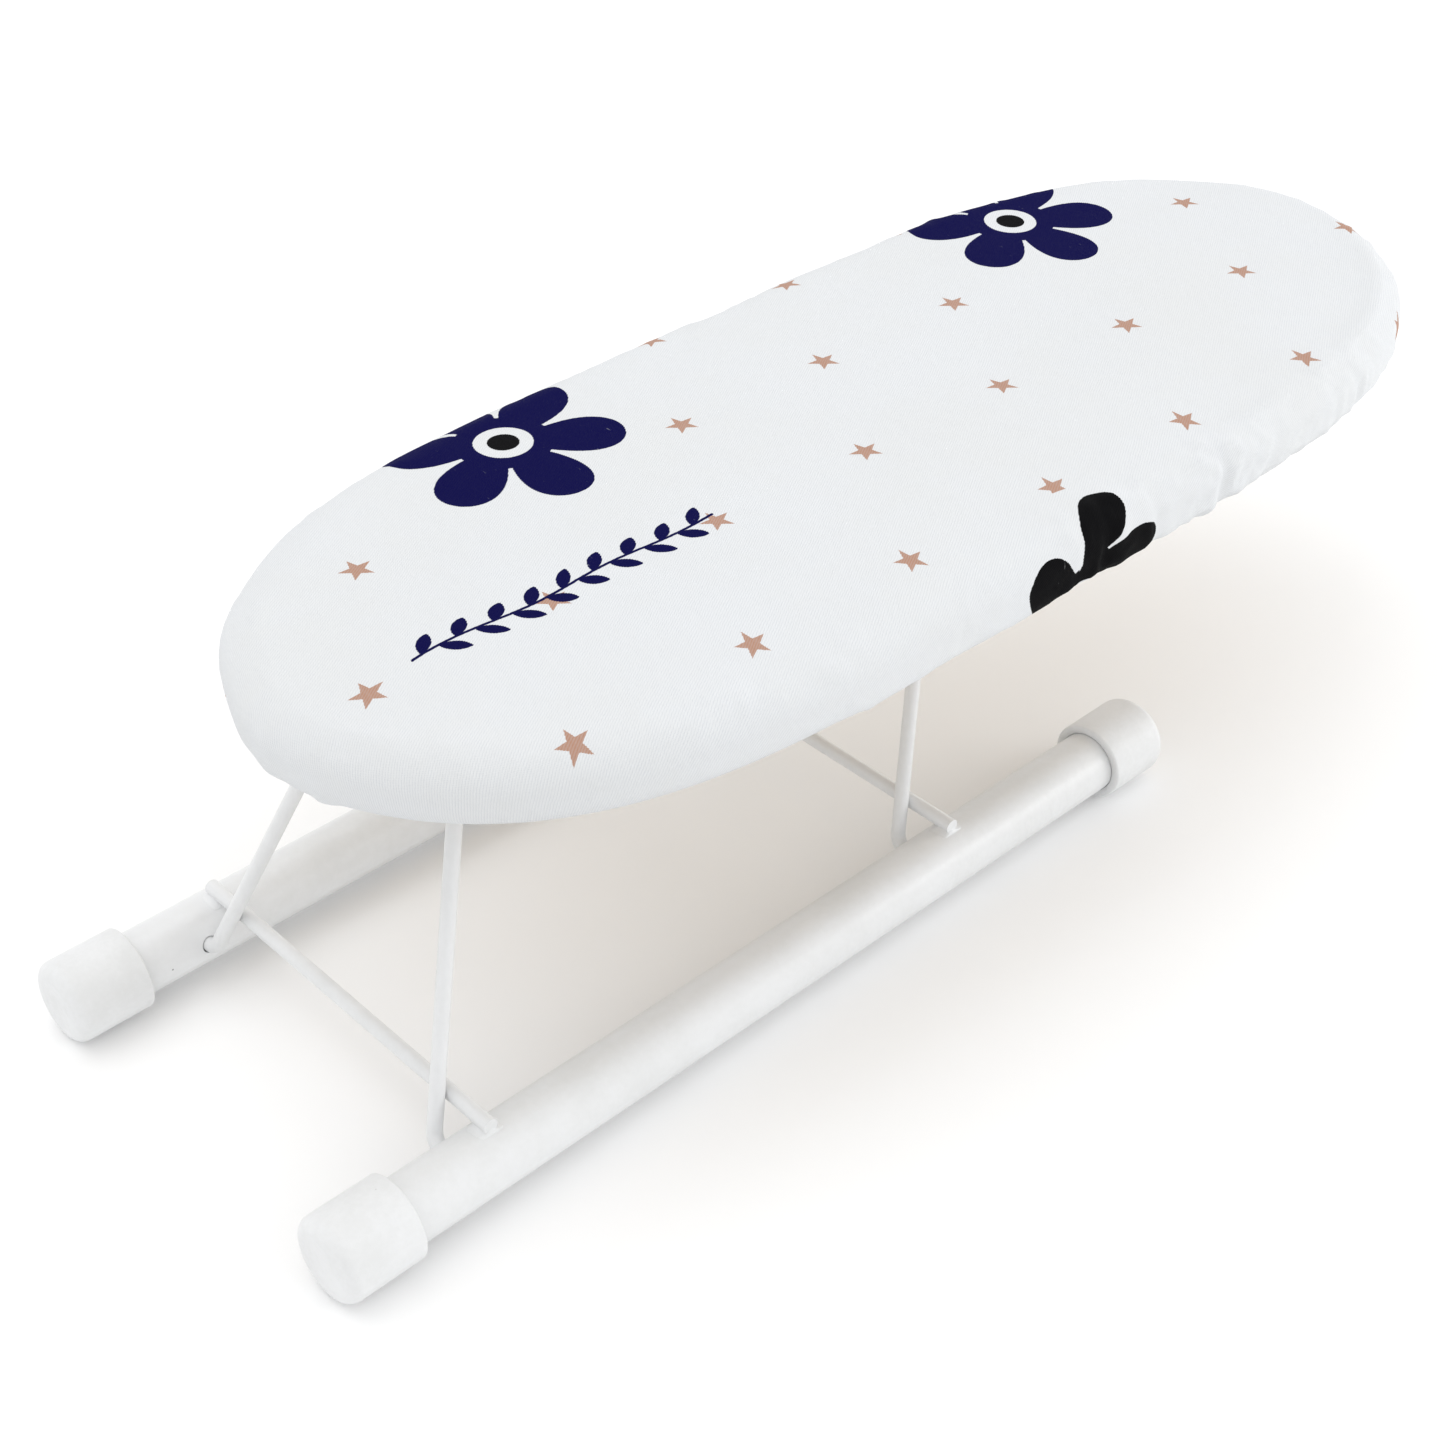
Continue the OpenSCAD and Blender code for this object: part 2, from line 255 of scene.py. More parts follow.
def cover_points():
    """The cover's outside as (rings, around, 3) points, its flat cut as (rings,
    around, 2), and its unit vectors outwards, before the cloth settles. The cover
    was pulled over askew, which drags the print towards the front edge."""
    x, y = outline(section[:, 0, None], turns[None, :])
    points = np.stack([x + BOARD_X, y, np.broadcast_to(section[:, 1, None], x.shape)], axis=-1)
    flat = np.stack(outline(flat_inset[:, None], turns[None, :]), axis=-1)
    pulled = ((50 * MM - flat_inset) / (25 * MM)).clip(0, 2.2)[:, None] * (1 - normal_y) / 2
    flat += pulled[..., None] * np.array([5.0, 3.5]) * MM
    out = np.stack([face_out[:, None] * normal_x, face_out[:, None] * normal_y,
                    np.broadcast_to(face_up[:, None], x.shape)], axis=-1)
    return points, flat, out


def hand_creases():
    """Moves of the cloth along its outward vectors: pulls down the front side,
    small gathers at the hem, and broad swells where the edge is padded."""
    right_side = (share_at(-20 * MM, -HALF_WIDTH), share_at(190 * MM, -HALF_WIDTH))
    low, high = min(right_side), max(right_side)
    move = creases(seed=3, count=11, spread=(low, high), width=(2.5 * MM, 5.5 * MM),
                   depth=(0.35 * MM, 0.9 * MM), reach=(4 * MM, 20 * MM), lean=(-0.5, 0.3))
    move += creases(seed=5, count=60, spread=(0, 1), width=(3 * MM, 7 * MM),
                    depth=(0.1 * MM, 0.4 * MM), reach=(-2 * MM, 10 * MM), lean=(-0.4, 0.4))
    move += creases(seed=8, count=150, spread=(0, 1), width=(1.6 * MM, 3 * MM),
                    depth=(0.1 * MM, 0.4 * MM), reach=(-16 * MM, -8 * MM), lean=(-0.3, 0.3))
    over_edge = ((30 * MM - flat_inset) / (26 * MM)).clip(0, 1)[:, None]
    swell = waves(seed=11, count=9, size=0.22 * MM, length=(45 * MM, 110 * MM))
    padding = waves(seed=12, count=7, size=0.6 * MM, length=(38 * MM, 70 * MM)) * over_edge
    move += swell + padding
    before_hem = ((flat_inset + 32 * MM) / (8 * MM)).clip(0.15, 1)[:, None]
    return (move * before_hem).clip(-FOAM_ROOM, 2.5 * MM) + hem_gathers()


def hem_gathers():
    """Puckers where the elastic gathers the cloth under the board, all downwards:
    a (0.5 + 0.5 sin p)^1.5 round the girth, p growing unevenly with the distance,
    deepest before the hem and low on the hem itself, which has little room."""
    share = TURN * along / girth
    uneven = 1.9 * np.sin(3 * share + 0.7) + 1.3 * np.sin(8 * share + 2.0) + 0.8 * np.sin(17 * share)
    pucker = (0.5 + 0.5 * np.sin(round(girth / (10 * MM)) * share + uneven)) ** 1.5
    depth = 0.7 + 0.3 * np.sin(5 * share + 1.0) * np.sin(11 * share)
    begun = ((-17 * MM - flat_inset) / (7 * MM)).clip(0, 1)
    above = ((section[:, 1] - hem_middle_z) / (under_z - hem_middle_z)).clip(0, 1)
    return (1.0 * MM * begun * (0.25 + 0.75 * above))[:, None] * pucker * depth


def room_inwards():
    """How far each ring may go in: FOAM_ROOM over the foam, next to nothing where
    the panel or the elastic lies right behind the cloth."""
    return (FOAM_ROOM * ((section[:, 1] - under_z - 0.5 * MM) / (5 * MM)).clip(0.03, 1))[:, None]


# The cloth simulation
SIM_STEP = 2              # every second ring and point of the cover takes part
SIM_FRAMES = 16
SIM_QUALITY = 5
SIM_MASS = 0.02
SIM_STIFF = 15
SIM_BEND = 0.02
SIM_PRESSURE = 8.0
SIM_SPARE = 0.12          # more cloth than the side is long, as a share
CAP_OUT = 1.7 * MM        # the furthest that a point moves out, and in
CAP_IN = 0.9 * MM
LOOSEST_X = 90 * MM       # where the front edge is loosest, along the board
KEPT_CREASES = 0.6        # share of the first creases that is added again after it


def looseness():
    """1 where the cloth is loosest, at the front right, down to 0 away from it, as
    exp(-(d/w)^2), d being the distance round the board in shares of the girth."""
    round_board = (along[::SIM_STEP] / girth)[None, :]
    loosest = share_at(LOOSEST_X, -HALF_WIDTH)
    return np.exp(-(((round_board - loosest + 0.5) % 1 - 0.5) / 0.13) ** 2)


def weigh_cloth(piece, around):
    """Vertex groups of the settling cloth: "loose", where it has cloth to spare,
    and "held", the flat top and the hem, whole rings at a time."""
    inset = flat_inset[::SIM_STEP, None]
    band = ((14 * MM - inset) / (20 * MM)).clip(0, 1)
    spare = ((0.45 + 0.55 * looseness()) * band * band * (3 - 2 * band)).ravel()
    loose = piece.vertex_groups.new(name="loose")
    for index in np.flatnonzero(spare > 0.01).tolist():
        loose.add([index], float(spare[index]), "REPLACE")
    held = piece.vertex_groups.new(name="held")
    top = ((inset[:, 0] - 4 * MM) / (8 * MM)).clip(0, 1)
    hem = ((-24 * MM - inset[:, 0]) / (5 * MM)).clip(0, 1)
    for ring, weight in enumerate(np.maximum(top, hem)):
        if weight > 0:
            held.add(list(range(ring * around, (ring + 1) * around)), float(weight), "REPLACE")


def add_cloth(piece):
    """The Cloth modifier: held at the top and the hem, longer where it is loose,
    lifted by air pressure, weightless, and kept out of the foam."""
    cloth = piece.modifiers.new("settle", "CLOTH")
    cloth.settings.quality = SIM_QUALITY
    cloth.settings.mass = SIM_MASS
    cloth.settings.tension_stiffness = SIM_STIFF
    cloth.settings.compression_stiffness = SIM_STIFF
    cloth.settings.shear_stiffness = SIM_STIFF / 3
    cloth.settings.bending_stiffness = SIM_BEND
    cloth.settings.air_damping = 1.0
    cloth.settings.vertex_group_mass = "held"
    cloth.settings.pin_stiffness = 1.0
    cloth.settings.use_pressure = True
    cloth.settings.uniform_pressure_force = SIM_PRESSURE
    cloth.settings.vertex_group_shrink = "loose"
    cloth.settings.shrink_min = 0.0
    cloth.settings.shrink_max = -SIM_SPARE
    cloth.settings.effector_weights.gravity = 0
    foam.modifiers.new("body", "COLLISION")
    foam.collision.thickness_outer = 0.2 * MM
    foam.collision.cloth_friction = 2.0
    cloth.collision_settings.use_collision = True
    cloth.collision_settings.distance_min = 1 * MM
    cloth.collision_settings.collision_quality = 2
    cloth.point_cache.frame_start = 1
    cloth.point_cache.frame_end = SIM_FRAMES


def run_cloth(coarse):
    """Where the points of the grid coarse lie once the cloth has settled."""
    rings, around = coarse.shape[:2]
    piece = mesh_object("settling_cloth", coarse.reshape(-1, 3), ring_faces(rings, around)[:, ::-1])
    weigh_cloth(piece, around)
    add_cloth(piece)
    for step in range(1, SIM_FRAMES + 1):
        bpy.context.scene.frame_set(step)
    worn = piece.evaluated_get(bpy.context.evaluated_depsgraph_get())
    settled = np.empty(coarse.size, dtype=np.float32)
    worn.data.vertices.foreach_get("co", settled)
    bpy.data.objects.remove(piece)
    foam.modifiers.clear()
    bpy.context.scene.frame_set(1)
    return settled.reshape(coarse.shape)


def settle_cloth(points, out, first):
    """Each point's move outwards from a cloth simulation that buckles from the first
    creases. A move m is capped to c tanh(m/c). The rings between the simulated ones
    are straight means, and the points between follow (9 (b + c) - a - d) / 16."""
    coarse = (points + first[..., None] * out)[::SIM_STEP, ::SIM_STEP]
    move = run_cloth(coarse) - points[::SIM_STEP, ::SIM_STEP]
    lift = np.sum(move * out[::SIM_STEP, ::SIM_STEP], axis=-1)
    lift = np.where(lift > 0, CAP_OUT * np.tanh(lift / CAP_OUT), CAP_IN * np.tanh(lift / CAP_IN))
    rows = np.arange(len(points)) / SIM_STEP
    low = np.floor(rows).astype(int).clip(0, len(coarse) - 1)
    high = (low + 1).clip(0, len(coarse) - 1)
    lift = lift[low] + (lift[high] - lift[low]) * (rows - low)[:, None]
    lift = lift * (0.35 + 0.65 * looseness())
    full = np.empty(points.shape[:2])
    full[:, ::2] = lift
    full[:, 1::2] = (lift * 9 + np.roll(lift, -1, 1) * 9 - np.roll(lift, 1, 1) - np.roll(lift, -2, 1)) / 16
    return full


def make_cover():
    """The cover: its section carried round the outline, moved outwards by the
    settled creases, and given the cloth's thickness inwards."""
    points, flat, out = cover_points()
    rings = len(section)
    faces = np.concatenate([zipper_faces(AROUND, 0, True), ring_faces(rings, AROUND)[:, ::-1]])
    piece = mesh_object("cotton_cover", points.reshape(-1, 3), faces)
    lift = hand_creases()
    lift = settle_cloth(points, out, lift) + KEPT_CREASES * (lift - hem_gathers())
    settled = points + np.maximum(lift, -room_inwards())[..., None] * out
    piece.data.vertices.foreach_set("co", settled.astype(np.float32).ravel())
    piece.data.update()
    set_uv(piece, flat.reshape(-1, 2))
    wall = piece.modifiers.new("cloth", "SOLIDIFY")
    wall.thickness = CLOTH_THICK
    wall.offset = -1
    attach(piece, "board")
    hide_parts("cover")
    return piece


# ---------------------------------------------------------------- foam, stitches, caps

def make_foam():
    """Foam over the panel and round its edge: the cover's section drawn in by the
    cloth, then a flat underside and a pocket that holds the panel."""
    keep = flat_inset > -19 * MM
    outer = section[keep][::2].copy()
    outer[:, 0] += (CLOTH_THICK + SIDE_ROOM) * face_out[keep][::2]
    outer[:, 1] -= (CLOTH_THICK + TOP_ROOM) * face_up[keep][::2]
    outer = outer[outer[:, 0] < HALF_WIDTH - 4 * MM]
    pocket = np.array([[EDGE_PAD, PANEL_Z], [EDGE_PAD, PANEL_TOP_Z], [30 * MM, PANEL_TOP_Z],
                       [60 * MM, PANEL_TOP_Z], [HALF_WIDTH - 4 * MM, PANEL_TOP_Z]])
    outer[:, 1] = outer[:, 1].clip(PANEL_Z, None)
    path = np.concatenate([outer, pocket])
    around = 280
    t, _, _ = even_turns(around)
    x, y = outline(path[:, 0, None], t[None, :])
    points = np.stack([x + BOARD_X, y, np.broadcast_to(path[:, 1, None], x.shape)], axis=-1)
    last = (len(path) - 1) * around
    faces = np.concatenate([zipper_faces(around, 0, True), ring_faces(len(path), around)[:, ::-1],
                            zipper_faces(around, last, False)])
    piece = mesh_object("foam_padding", points.reshape(-1, 3), faces)
    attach(piece, "board")
    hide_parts("foam_pad")
    return piece


def make_stitches():
    """A row of thread round the hem: each stitch is a half turn of thread, an arch
    a sin(pi s) high along its length, round in section."""
    pitch = 4.2 * MM
    steps, sides = 7, 6
    radius, arch = 0.22 * MM, 0.3 * MM
    inset = HEM_REACH - STITCH_BACK
    t, _, _ = even_turns(2 * (int(girth * 0.9 / pitch) // 2))
    cx, cy = outline(inset, t)
    nx = np.interp(t, turns, normal_x, period=TURN)
    ny = np.interp(t, turns, normal_y, period=TURN)
    size = np.hypot(nx, ny)
    nx, ny = nx / size, ny / size
    s = np.linspace(0, 1, steps)
    a = np.arange(sides) / sides * TURN
    thick = radius * np.sqrt(np.sin(math.pi * (0.06 + 0.88 * s)))
    length = 0.72 * pitch * (s - 0.5)
    low = hem_middle_z - hem_half + 0.12 * MM - arch * np.sin(math.pi * s)
    across = thick[:, None] * np.cos(a)[None, :]
    down = low[:, None] + thick[:, None] * np.sin(a)[None, :]
    px = cx[:, None, None] + nx[:, None, None] * across - ny[:, None, None] * length[None, :, None]
    py = cy[:, None, None] + ny[:, None, None] * across + nx[:, None, None] * length[None, :, None]
    pz = np.broadcast_to(down, px.shape)
    points = np.stack([px + BOARD_X, py, pz], axis=-1).reshape(-1, 3)
    one = ring_faces(steps, sides)
    ends = []
    for first, turned in ((0, False), ((steps - 1) * sides, True)):
        quads = np.array([[0, 1, 2, 3], [0, 3, 4, 5]]) + first
        ends.append(quads if turned else quads[:, ::-1])
    one = np.concatenate([one] + ends)
    faces = (one[None] + (np.arange(len(t)) * steps * sides)[:, None, None]).reshape(-1, 4)
    piece = mesh_object("hem_stitches", points, faces)
    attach(piece, "board")
    return piece


def make_cap(name, node, end):
    """A moulded end cap, a profile turned about the tube's axis: a rounded closed
    end, a wall with a slight draft, a rounded rim and a bore that grips the tube."""
    low, high = (np.array(p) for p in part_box(node))
    radius = (high[2] - low[2]) / 2
    length = high[0] - low[0]
    tube_r = (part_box("front_tube")[1][2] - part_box("front_tube")[0][2]) / 2
    centre = (low + high) / 2
    round_r, rim = 4.4 * MM, 0.9 * MM
    t = np.linspace(0, TURN / 4, 10)
    end_arc = np.stack([round_r * (1 - np.cos(t)), radius - round_r + round_r * np.sin(t)], axis=1)
    dish = np.array([[0.35 * MM, 0.15 * MM], [0.3 * MM, 3 * MM], [0.1 * MM, radius - round_r - 1.2 * MM]])
    draft = np.array([[length * 0.45, radius - 0.02 * MM], [length - rim - 4 * MM, radius - 0.05 * MM]])
    t = np.linspace(0, TURN / 4, 6)
    rim_arc = np.stack([length - rim + rim * np.sin(t), radius - rim - 0.05 * MM + rim * np.cos(t)], axis=1)
    lip = np.array([[length, tube_r + 0.5 * MM], [length - 0.4 * MM, tube_r + 0.08 * MM],
                    [length - 1.5 * MM, tube_r + 0.02 * MM], [length - 8 * MM, tube_r + 0.02 * MM]])
    profile = np.concatenate([dish, end_arc, draft, rim_arc, lip])
    sides = 96
    a = np.arange(sides) / sides * TURN
    wobble = 1 + 0.0035 * np.sin(2 * a + 1.1) + 0.002 * np.sin(3 * a)
    grip = ((profile[:, 1] - tube_r - 0.3 * MM) / (2 * MM)).clip(0, 1)[:, None]
    r = profile[:, 1, None] * (1 + (wobble[None, :] - 1) * grip)
    x = centre[0] + end * (length / 2 - profile[:, 0, None]) + 0 * a
    points = np.stack([x, centre[1] + r * np.cos(a), centre[2] + r * np.sin(a)], axis=-1)
    hub_point = [[centre[0] + end * (length / 2 - dish[0, 0]), centre[1], centre[2]]]
    points = np.concatenate([points.reshape(-1, 3), hub_point])
    quads = ring_faces(len(profile), sides)
    hub = len(points) - 1
    i = np.arange(sides)
    fan = np.stack([np.full(sides, hub), (i + 1) % sides, i], axis=-1)
    triangles = np.concatenate([quads[:, [0, 1, 2]], quads[:, [0, 2, 3]], fan])
    if end > 0:
        triangles = triangles[:, ::-1]
    piece = mesh_object(name, points, triangles)
    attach(piece, "base")
    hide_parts(node)
    return piece


def make_weld_fillets(name, node, bar):
    """Weld metal where a crossbar lies on the two tubes: a skin over each tube whose
    height above it is h exp(-(x/w)^2) (1 - (s/l)^2)^0.8, x being the distance from the
    bar's middle line and s the distance round the tube from just inside its top."""
    bar_low, bar_high = (np.array(p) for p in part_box(bar))
    bar_x = (bar_low[0] + bar_high[0]) / 2
    steps = 33
    tall, spread, reach = 2.0 * MM, 2.5 * MM, 4.4 * MM
    inwards = 1.8 * MM
    x = np.linspace(-5.2 * MM, 5.2 * MM, steps)[:, None]
    s = np.linspace(-reach, reach, steps)[None, :]
    lumps = 1 + 0.12 * np.sin(s * TURN / (3.1 * MM)) * np.cos(x * TURN / (9 * MM))
    height = tall * np.exp(-((x / spread) ** 2)) * (1 - (s / reach) ** 2) ** 0.8 * lumps
    height = np.where(height > 0.05 * MM, height, -0.4 * MM)
    skins = []
    for tube in ("front_tube", "rear_tube"):
        low, high = (np.array(p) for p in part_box(tube))
        middle = (low + high) / 2
        radius = (high[2] - low[2]) / 2
        for lift in (height, np.full(height.shape, -0.6 * MM)):
            angle = (s - np.sign(middle[1]) * inwards) / radius
            skins.append(np.stack([bar_x + x + 0 * s, middle[1] + (radius + lift) * np.sin(angle),
                                   middle[2] + (radius + lift) * np.cos(angle)], axis=-1).reshape(-1, 3))
    grid = np.arange(steps * steps).reshape(steps, steps)
    top = np.stack([grid[:-1, :-1], grid[1:, :-1], grid[1:, 1:], grid[:-1, 1:]], axis=-1).reshape(-1, 4)
    rim = np.concatenate([grid[:, 0], grid[-1, 1:], grid[-2::-1, -1], grid[0, -2:0:-1]])
    after = np.roll(rim, -1)
    under = steps * steps
    wall = np.stack([after, rim, rim + under, after + under], axis=-1)
    one = np.concatenate([top, top[:, ::-1] + under, wall])
    faces = np.concatenate([one, one + 2 * under])
    piece = mesh_object(name, np.concatenate(skins), faces)
    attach(piece, "base")
    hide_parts(node)
    return piece


foam = make_foam()
cover = make_cover()
stitches = make_stitches()
fillets = [make_weld_fillets(f"{place}_weld_fillets", f"{place}_crossbar_welds", f"{place}_crossbar")
           for place in ("near", "far")]
caps = [make_cap(f"{side}_{place}_end_cap", f"{side}_{place}_cap", end)
        for side in ("front", "rear") for place, end in (("near", -1), ("far", 1))]


# ---------------------------------------------------------------- node helpers

class Graph:
    """Short ways to add nodes to one tree. A value that is a socket is linked,
    any other is set as the input's own value."""

    def __init__(self, tree):
        self.tree = tree

    def put(self, socket, value):
        if isinstance(value, bpy.types.NodeSocket):
            self.tree.links.new(value, socket)
        else:
            socket.default_value = value

    def node(self, kind, settings=(), **inputs):
        made = self.tree.nodes.new(kind)
        for name, value in dict(settings).items():
            setattr(made, name, value)
        for name, value in inputs.items():
            self.put(made.inputs[name], value)
        return made

    def math(self, operation, *values):
        made = self.node("ShaderNodeMath", {"operation": operation})
        for socket, value in zip(made.inputs, values):
            self.put(socket, value)
        return made.outputs[0]

    def vector(self, operation, *values):
        made = self.node("ShaderNodeVectorMath", {"operation": operation})
        for socket, value in zip(made.inputs, values):
            self.put(socket, value)
        return made.outputs["Value" if operation in ("LENGTH", "DISTANCE", "DOT_PRODUCT") else "Vector"]

    def split(self, vector):
        return self.node("ShaderNodeSeparateXYZ", Vector=vector).outputs

    def join(self, x, y, z=0.0):
        return self.node("ShaderNodeCombineXYZ", X=x, Y=y, Z=z).outputs[0]

    def step(self, value, low, high):
        """0 at low, 1 at high, smooth between."""
        made = self.node("ShaderNodeMapRange", {"interpolation_type": "SMOOTHSTEP"})
        self.put(made.inputs["Value"], value)
        self.put(made.inputs["From Min"], low)
        self.put(made.inputs["From Max"], high)
        return made.outputs[0]

    def scale(self, value, low, high):
        """value from 0 to 1, spread between low and high."""
        return self.math("MULTIPLY_ADD", value, high - low, low)

    def mix(self, factor, first, second):
        made = self.node("ShaderNodeMix", {"data_type": "RGBA"})
        self.put(made.inputs[0], factor)
        self.put(made.inputs[6], first)
        self.put(made.inputs[7], second)
        return made.outputs[2]

    def noise(self, vector, scale, detail=2.0, rough=0.5):
        return self.node("ShaderNodeTexNoise", Vector=vector, Scale=scale, Detail=detail,
                         Roughness=rough).outputs[0]

    def bump(self, height, distance, strength=1.0, under=None):
        made = self.node("ShaderNodeBump", Height=height, Distance=distance, Strength=strength)
        if under is not None:
            self.put(made.inputs["Normal"], under)
        return made.outputs[0]

    def group(self, tree, **inputs):
        made = self.node("ShaderNodeGroup", {"node_tree": tree})
        for name, value in inputs.items():
            self.put(made.inputs[name.replace("_", " ")], value)
        return made.outputs


def new_group(name, inputs, outputs):
    """An empty node group. inputs are (name, kind, value), outputs (name, kind)."""
    tree = bpy.data.node_groups.new(name, "ShaderNodeTree")
    for label, kind, value in inputs:
        socket = tree.interface.new_socket(label, in_out="INPUT", socket_type="NodeSocket" + kind)
        if value is not None:
            socket.default_value = value
    for label, kind in outputs:
        tree.interface.new_socket(label, in_out="OUTPUT", socket_type="NodeSocket" + kind)
    graph = Graph(tree)
    return graph, graph.node("NodeGroupInput").outputs, graph.node("NodeGroupOutput").inputs


def new_material(name, **constants):
    """A material with a Principled shader whose plain values are set on it."""
    material = bpy.data.materials.new(name)
    material.use_nodes = True
    graph = Graph(material.node_tree)
    shader = material.node_tree.nodes["Principled BSDF"]
    for label, value in constants.items():
        shader.inputs[label.replace("_", " ")].default_value = value
    return material, graph, shader


def colour(r, g, b):
    """An sRGB colour from 0 to 255 as linear RGBA."""
    c = np.array([r, g, b]) / 255
    linear = np.where(c <= 0.04045, c / 12.92, ((c + 0.055) / 1.055) ** 2.4)
    return (*linear.tolist(), 1.0)


# ---------------------------------------------------------------- shared effects

def twill_group():
    """Twill cloth: threads both ways and the diagonal ribs of their floats."""
    g, given, out = new_group("twill", [("Vector", "Vector", None), ("Pitch", "Float", 0.0016)],
                              [("Height", "Float"), ("Thread", "Float")])
    x, y, _ = g.split(g.vector("DIVIDE", given["Vector"], g.join(given["Pitch"], given["Pitch"], 1.0)))
    drift = g.math("MULTIPLY", g.noise(given["Vector"], 90.0), 1.2)
    diagonal = g.math("MULTIPLY_ADD", y, -1.67, g.math("ADD", x, drift))
    rib = g.math("SINE", g.math("MULTIPLY", diagonal, TURN))
    warp = g.math("SINE", g.math("MULTIPLY", g.math("ADD", x, drift), 3 * TURN))
    weft = g.math("SINE", g.math("MULTIPLY", y, 3 * TURN))
    weave = g.math("MULTIPLY_ADD", g.math("MULTIPLY", warp, weft), 0.5, g.math("MULTIPLY", rib, 0.5))
    slub = g.noise(g.vector("MULTIPLY", given["Vector"], (900.0, 160.0, 1.0)), 1.0, 3.0)
    g.put(out["Height"], g.math("MULTIPLY_ADD", slub, 0.5, g.math("MULTIPLY_ADD", weave, 0.5, 0.25)))
    g.put(out["Thread"], slub)
    return g.tree


def star_group():
    """Small five-pointed stars on staggered rows: the cell is folded to one star,
    the turn about its middle to half a point, and a straight line bounds it."""
    g, given, out = new_group(
        "printed_stars",
        [("Vector", "Vector", None), ("Start", "Vector", None), ("Spacing", "Float", 0.0645),
         ("Row", "Float", 0.052), ("Radius", "Float", 0.0058), ("Soft", "Float", 0.0001)],
        [("Mask", "Float")])
    x, y, _ = g.split(g.vector("SUBTRACT", given["Vector"], given["Start"]))
    y = g.math("MULTIPLY_ADD", x, 0.026, y)
    row = g.math("ROUND", g.math("DIVIDE", y, given["Row"]))
    y = g.math("SUBTRACT", y, g.math("MULTIPLY", row, given["Row"]))
    odd = g.math("ABSOLUTE", g.math("MODULO", row, 2.0))
    x = g.math("SUBTRACT", x, g.math("MULTIPLY", g.math("MULTIPLY", odd, 0.5), given["Spacing"]))
    cell = g.math("ROUND", g.math("DIVIDE", x, given["Spacing"]))
    x = g.math("SUBTRACT", x, g.math("MULTIPLY", cell, given["Spacing"]))
    r = g.math("SQRT", g.math("ADD", g.math("MULTIPLY", x, x), g.math("MULTIPLY", y, y)))
    point = TURN / 5
    angle = g.math("DIVIDE", g.math("SUBTRACT", g.math("ARCTAN2", y, x), math.radians(14)), point)
    fold = g.math("ABSOLUTE", g.math("SUBTRACT", g.math("FRACT", g.math("ADD", angle, 2.5)), 0.5))
    fold = g.math("MULTIPLY", fold, point)
    inner = 0.4
    across = g.math("MULTIPLY", g.math("SINE", fold), 1 - inner * math.cos(point / 2))
    line = g.math("MULTIPLY_ADD", g.math("COSINE", fold), inner * math.sin(point / 2), across)
    reach = g.math("MULTIPLY", given["Radius"], inner * math.sin(point / 2))
    over = g.math("SUBTRACT", g.math("MULTIPLY", r, line), reach)
    edge = g.math("DIVIDE", over, given["Soft"])
    g.put(out["Mask"], g.step(edge, 0.5, -0.5))
    return g.tree


def flower_group():
    """A flower of six petals about a ring and a dark eye. A petal's half width at p,
    its share of the way out, is 0.73 p^1.1 sqrt(1 - p): narrow in, round out."""
    g, given, out = new_group(
        "printed_flower",
        [("Vector", "Vector", None), ("Centre", "Vector", None), ("First petal", "Float", 0.0),
         ("Size", "Float", 0.0405), ("Soft", "Float", 0.0002)],
        [("Petals", "Float"), ("Eye", "Float")])
    x, y, _ = g.split(g.vector("SUBTRACT", given["Vector"], given["Centre"]))
    x, y = g.math("DIVIDE", x, given["Size"]), g.math("DIVIDE", y, given["Size"])
    r = g.math("SQRT", g.math("ADD", g.math("MULTIPLY", x, x), g.math("MULTIPLY", y, y)))
    petal = TURN / 6
    angle = g.math("DIVIDE", g.math("SUBTRACT", g.math("ARCTAN2", y, x), given["First petal"]), petal)
    fold = g.math("MULTIPLY", g.math("SUBTRACT", g.math("FRACT", g.math("ADD", angle, 12.5)), 0.5), petal)
    far = g.math("MULTIPLY", r, g.math("COSINE", fold))
    side = g.math("ABSOLUTE", g.math("MULTIPLY", r, g.math("SINE", fold)))
    room = g.math("SQRT", g.math("MAXIMUM", g.math("SUBTRACT", 1.0, far), 0.0))
    taper = g.math("MULTIPLY", g.math("POWER", g.math("MAXIMUM", far, 0.0), 1.1), 0.73)
    width = g.math("MULTIPLY", taper, room)
    soft = g.math("DIVIDE", given["Soft"], given["Size"])
    within = g.math("MINIMUM", g.math("SUBTRACT", width, side), g.math("SUBTRACT", 0.999, far))
    inside = g.step(g.math("DIVIDE", within, soft), -0.5, 0.5)
    middle = g.step(g.math("DIVIDE", g.math("SUBTRACT", 0.41, r), soft), -0.5, 0.5)
    ring = g.step(g.math("DIVIDE", g.math("SUBTRACT", r, 0.245), soft), -0.5, 0.5)
    eye = g.step(g.math("DIVIDE", g.math("SUBTRACT", 0.132, r), soft), -0.5, 0.5)
    g.put(out["Petals"], g.math("MULTIPLY", g.math("MAXIMUM", inside, middle), ring))
    g.put(out["Eye"], eye)
    return g.tree


